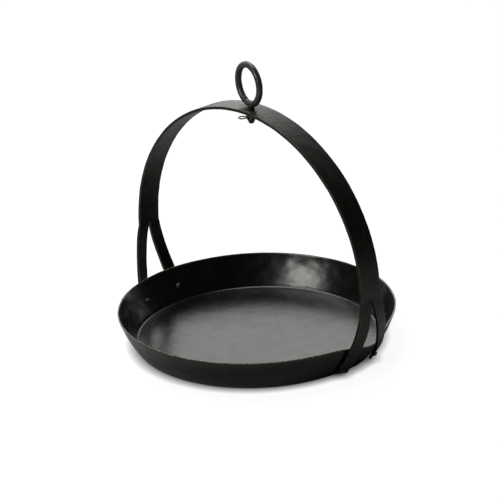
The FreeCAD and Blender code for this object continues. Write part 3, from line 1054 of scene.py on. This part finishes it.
@dataclass
class SplitPin:
    """Split pin: one half-round wire folded into a long loop and two legs that are bent apart."""

    wire_radius: float = 0.68 * MM
    leg_offset: float = 0.7 * MM
    turn: float = 45.0
    nut_half: float = 5.0 * MM
    loop_length: float = 7.2 * MM
    loop_half: float = 1.2 * MM
    tail_length: float = 2.6 * MM
    tail_spread: float = 1.3 * MM
    steps_per_span: int = 6

    def line(self) -> list[Vector]:
        """The wire's middle line, from one tail round the loop to the other."""
        low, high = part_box("split_pin")
        pivot = Vector(frame["joints"][0]["pos_m"])
        along = heading(self.turn)
        middle = Vector((pivot.x, pivot.y, 0.5 * (low.z + high.z)))
        nut, leg, tail = self.nut_half, self.leg_offset, self.tail_length
        upper = [
            (nut + tail, leg + self.tail_spread),
            (nut + 0.4 * tail, leg + 0.25 * self.tail_spread),
            (nut, leg),
            (0.0, leg),
            (-nut, leg),
            (-nut - 0.3 * self.loop_length, 0.9 * self.loop_half),
            (-nut - 0.7 * self.loop_length, self.loop_half),
        ]
        nose = (-nut - self.loop_length, 0.0)
        flat = upper + [nose] + [(reach, -rise) for reach, rise in reversed(upper)]
        knots = [middle + along * reach + UP * rise for reach, rise in flat]
        return through(knots, self.steps_per_span)

    def build(self) -> Piece:
        """Bend the wire.

        Returns:
            The pin.
        """
        facing = UP.cross(heading(self.turn))
        pin = Rod("cotter", self.wire_radius, self.line(), facing, corners=12).build()
        soften(pin, width=0.12 * MM, angle=50.0)
        return pin


def through(knots: Sequence[Vector], steps: int) -> list[Vector]:
    """A smooth line through a row of points.

    Args:
        knots: The points.
        steps: How many points to make for each span.

    Returns:
        The line's points.
    """
    ends = [knots[0] * 2.0 - knots[1], *knots, knots[-1] * 2.0 - knots[-2]]
    line = []
    for before, first, second, after in zip(ends, ends[1:], ends[2:], ends[3:]):
        poles = (first, first + (second - before) / 6.0, second - (after - first) / 6.0, second)
        line += [bezier(poles, step / steps)[0] for step in range(steps)]
    return line + [knots[-1]]


# ---------------- studio


@dataclass(frozen=True)
class Softbox:
    """An oblong soft light that faces the pan."""

    name: str
    direction: float
    rise: float
    reach: float
    width: float
    height: float
    watts: float
    aim_height: float = 0.1

    def hang(self) -> None:
        """Put the light in its place."""
        out = heading(self.direction, self.rise)
        light = bpy.data.lights.new(self.name, "AREA")
        light.shape = "RECTANGLE"
        light.size, light.size_y = self.width, self.height
        light.energy = self.watts
        lamp = bpy.data.objects.new(self.name, light)
        bpy.context.scene.collection.objects.link(lamp)
        lamp.location = out * self.reach + UP * self.aim_height
        lamp.rotation_euler = out.to_track_quat("Z", "Y").to_euler()


@dataclass
class Studio:
    """Pale floor, a bright wall of light behind, two softboxes and the camera."""

    azimuth: float = 46.407
    elevation: float = 22.035
    roll: float = -2.495
    distance: float = 2.348
    focal_length: float = 170.36
    sensor_width: float = 36.0
    far_clip: float = 50.0
    aim_height: float = 0.0945
    aim_left: float = 4.2 * MM
    back_light: float = 1.85
    front_light: float = 0.03
    overhead_light: float = 0.3
    wall_fade: tuple[float, float] = (0.38, 0.9)
    overhead_fade: tuple[float, float] = (0.35, 0.85)
    floor_size: float = 40.0
    floor_tone: float = 0.47
    floor_tone_seen: float = 0.16
    floor_glow: float = 0.93
    # how far from the pan the floor's painted contact shadow reaches
    painted_shadow_reach: float = 10.0 * MM
    softboxes: tuple[Softbox, ...] = (
        Softbox("left_softbox", direction=-94.0, rise=35.0, reach=1.6, width=0.8, height=0.5, watts=9.5),
        Softbox("top_softbox", direction=165.0, rise=66.0, reach=1.8, width=1.1, height=1.1, watts=16.0),
    )

    def camera_axes(self) -> tuple[Vector, Vector, Vector]:
        """The camera's right, up and backward directions before its roll."""
        right, back = heading(self.azimuth), heading(self.azimuth - 90.0, self.elevation)
        return right, back.cross(right), back

    def camera(self) -> None:
        """Set up the camera."""
        right, up, back = self.camera_axes()
        lens = bpy.data.cameras.new("camera")
        lens.lens = self.focal_length
        lens.sensor_width = self.sensor_width
        lens.clip_end = self.far_clip
        body = bpy.data.objects.new("camera", lens)
        bpy.context.scene.collection.objects.link(body)
        turn = math.radians(self.roll)
        level = math.cos(turn) * right + math.sin(turn) * up
        upright = -math.sin(turn) * right + math.cos(turn) * up
        body.matrix_world = Matrix((level, upright, back)).transposed().to_4x4()
        body.location = UP * self.aim_height - right * self.aim_left + back * self.distance
        bpy.context.scene.camera = body

    def floor(self) -> None:
        """Lay a floor that glows white to the camera, with contact shadows painted into that glow by
        ambient occlusion, and is grey to the pan.
        """
        bpy.ops.mesh.primitive_plane_add(size=self.floor_size)
        floor = bpy.context.object
        floor.name = "studio_floor"
        graph = Graph("studio_floor")
        seen = graph.node("ShaderNodeLightPath").outputs["Is Camera Ray"]
        dull, bright = ((tone, tone, tone, 1.0) for tone in (self.floor_tone, self.floor_tone_seen))
        # painted contact shadow: ambient occlusion near the pan dims the floor's glow to the camera
        painted_contact_shadow = graph.node("ShaderNodeAmbientOcclusion", {"Distance": self.painted_shadow_reach}, samples=8)
        glow = graph.math("MULTIPLY", seen, self.floor_glow)
        graph.wire(graph.shader, {
            "Base Color": graph.blend(seen, dull, bright),
            "Emission Color": WHITE,
            "Emission Strength": graph.math("MULTIPLY", glow, painted_contact_shadow.outputs["AO"]),
            "Roughness": 0.9,
            "Specular IOR Level": 0.0,
        })
        floor.data.materials.append(graph.material)

    def surroundings(self) -> None:
        """A bright wall of light behind the pan that fades overhead, and a dim room in front."""
        world = bpy.data.worlds.new("studio")
        bpy.context.scene.world = world
        graph = Nodes(world)
        around = graph.node("ShaderNodeTexCoord").outputs["Generated"]
        _, _, back = self.camera_axes()
        behind = Vector((-back.x, -back.y, 0.0)).normalized()

        def spread(axis: Vector, fade: tuple[float, float], dim: float, bright: float) -> Socket:
            """A brightness that grows as a direction turns towards an axis."""
            facing = graph.node("ShaderNodeVectorMath", {0: around, 1: axis}, operation="DOT_PRODUCT")
            return graph.ramp(facing.outputs["Value"], *fade, dim, bright)

        wall = spread(behind, self.wall_fade, self.front_light, self.back_light)
        overhead = spread(UP, self.overhead_fade, 1.0, self.overhead_light)
        seen = graph.node("ShaderNodeLightPath").outputs["Is Camera Ray"]
        strength = graph.blend(seen, graph.math("MULTIPLY", wall, overhead), 1.0, "FLOAT")
        backdrop = graph.node("ShaderNodeBackground", {"Color": WHITE, "Strength": strength})
        graph.node("ShaderNodeOutputWorld", {"Surface": backdrop.outputs["Background"]})

    def make(self) -> None:
        """Set up the whole studio."""
        self.camera()
        self.floor()
        self.surroundings()
        for softbox in self.softboxes:
            softbox.hang()
        view = bpy.context.scene.view_settings
        view.view_transform = "Standard"
        view.look = "None"


def main() -> None:
    """Set up the studio, then build and dress the pan piece by piece."""
    Studio().make()
    pan = Pan()
    hoop = Hoop(pan)
    finish_piece(pan.build(), Body.ROOT, ["pan"], [PAN_INSIDE, PAN_OUTSIDE])
    finish_piece(hoop.build(), Body.ROOT, ["hoop_bar"], [HOOP_STEEL])
    for side in Side:
        for fork in Fork:
            node = f"rivet_{side.name}_{fork.name}".lower()
            rivet = ForgedCopy(node, f"peened_{node}").build()
            finish_piece(rivet, Body.ROOT, [node], [RIVET_STEEL])
    finish_piece(SwivelEye().build(), Body.SWIVEL, ["swivel_eye"], [EYE_STEEL])
    for node, name, roughness in (
        ("swivel_washer", "washer", 0.04 * MM),
        ("slotted_nut", "castle_nut", 0.06 * MM),
    ):
        copy = ForgedCopy(node, name, roughness=roughness).build()
        finish_piece(copy, Body.SWIVEL, [node], [FASTENER_STEEL])
    finish_piece(SplitPin().build(), Body.SWIVEL, ["split_pin"], [PIN_WIRE])


if __name__ == "__main__":
    main()
